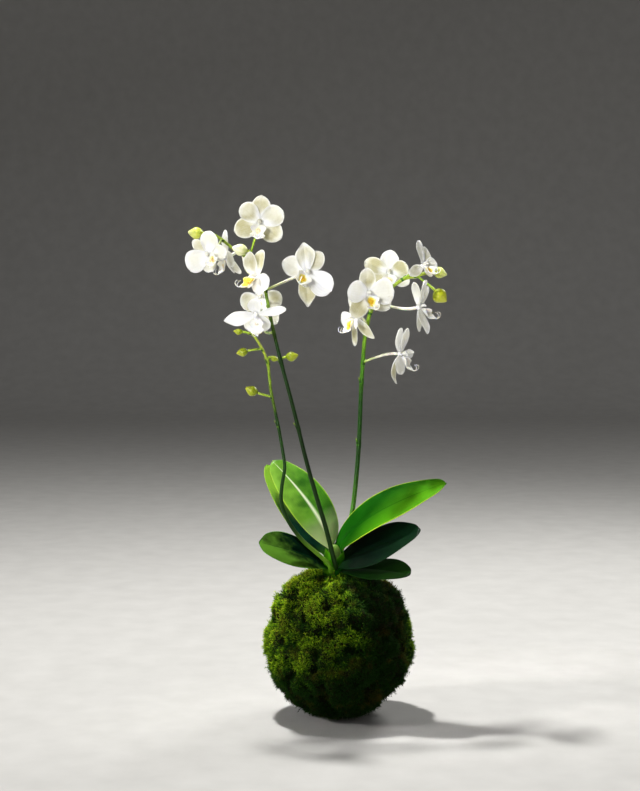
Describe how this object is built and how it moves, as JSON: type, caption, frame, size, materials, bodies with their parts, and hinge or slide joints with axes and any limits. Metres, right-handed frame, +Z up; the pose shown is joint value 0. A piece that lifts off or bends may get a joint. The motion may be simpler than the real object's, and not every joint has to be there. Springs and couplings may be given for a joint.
{
  "type": "kokedama orchid plant",
  "caption": "Moth orchid in a moss ball: fleshy leaves and arching flower spikes with white blooms and yellow-green buds stand in a soil ball wrapped in moss.",
  "frame": {"origin": "middle of the flat spot that the moss ball rests on", "axes": "+Z up, along the flower spikes; +X to the right and -Y towards the viewer of the picture"},
  "size_m": [0.2143, 0.1368, 0.4308],
  "materials": {
    "moss": "matte",
    "soil": "matte",
    "leaf": "gloss",
    "stem": "satin",
    "petal": "matte",
    "lip": "satin",
    "bud": "satin"
  },
  "bodies": {
    "root": {"moss_cover": "moss", "soil_core": "soil", "crown": "stem", "leaf_left_upper": "leaf", "leaf_left_middle": "leaf", "leaf_left_lower": "leaf", "leaf_right_upper": "leaf", "leaf_right_middle": "leaf", "leaf_right_lower": "leaf", "spike_centre": "stem", "spike_left": "stem", "spike_right": "stem", "bloom_01": "petal", "lip_01": "lip", "bloom_02": "petal", "lip_02": "lip", "bloom_03": "petal", "lip_03": "lip", "bloom_04": "petal", "lip_04": "lip", "bloom_05": "petal", "lip_05": "lip", "bloom_06": "petal", "lip_06": "lip", "bloom_07": "petal", "lip_07": "lip", "bloom_08": "petal", "lip_08": "lip", "bloom_09": "petal", "lip_09": "lip", "bloom_10": "petal", "lip_10": "lip", "bloom_11": "petal", "lip_11": "lip", "bloom_12": "petal", "lip_12": "lip", "bloom_13": "petal", "lip_13": "lip", "bud_1": "bud", "bud_2": "bud", "bud_3": "bud", "bud_4": "bud", "bud_5": "bud", "bud_6": "bud", "bud_7": "bud", "bud_8": "bud", "bud_9": "bud"}
  },
  "joints": []
}
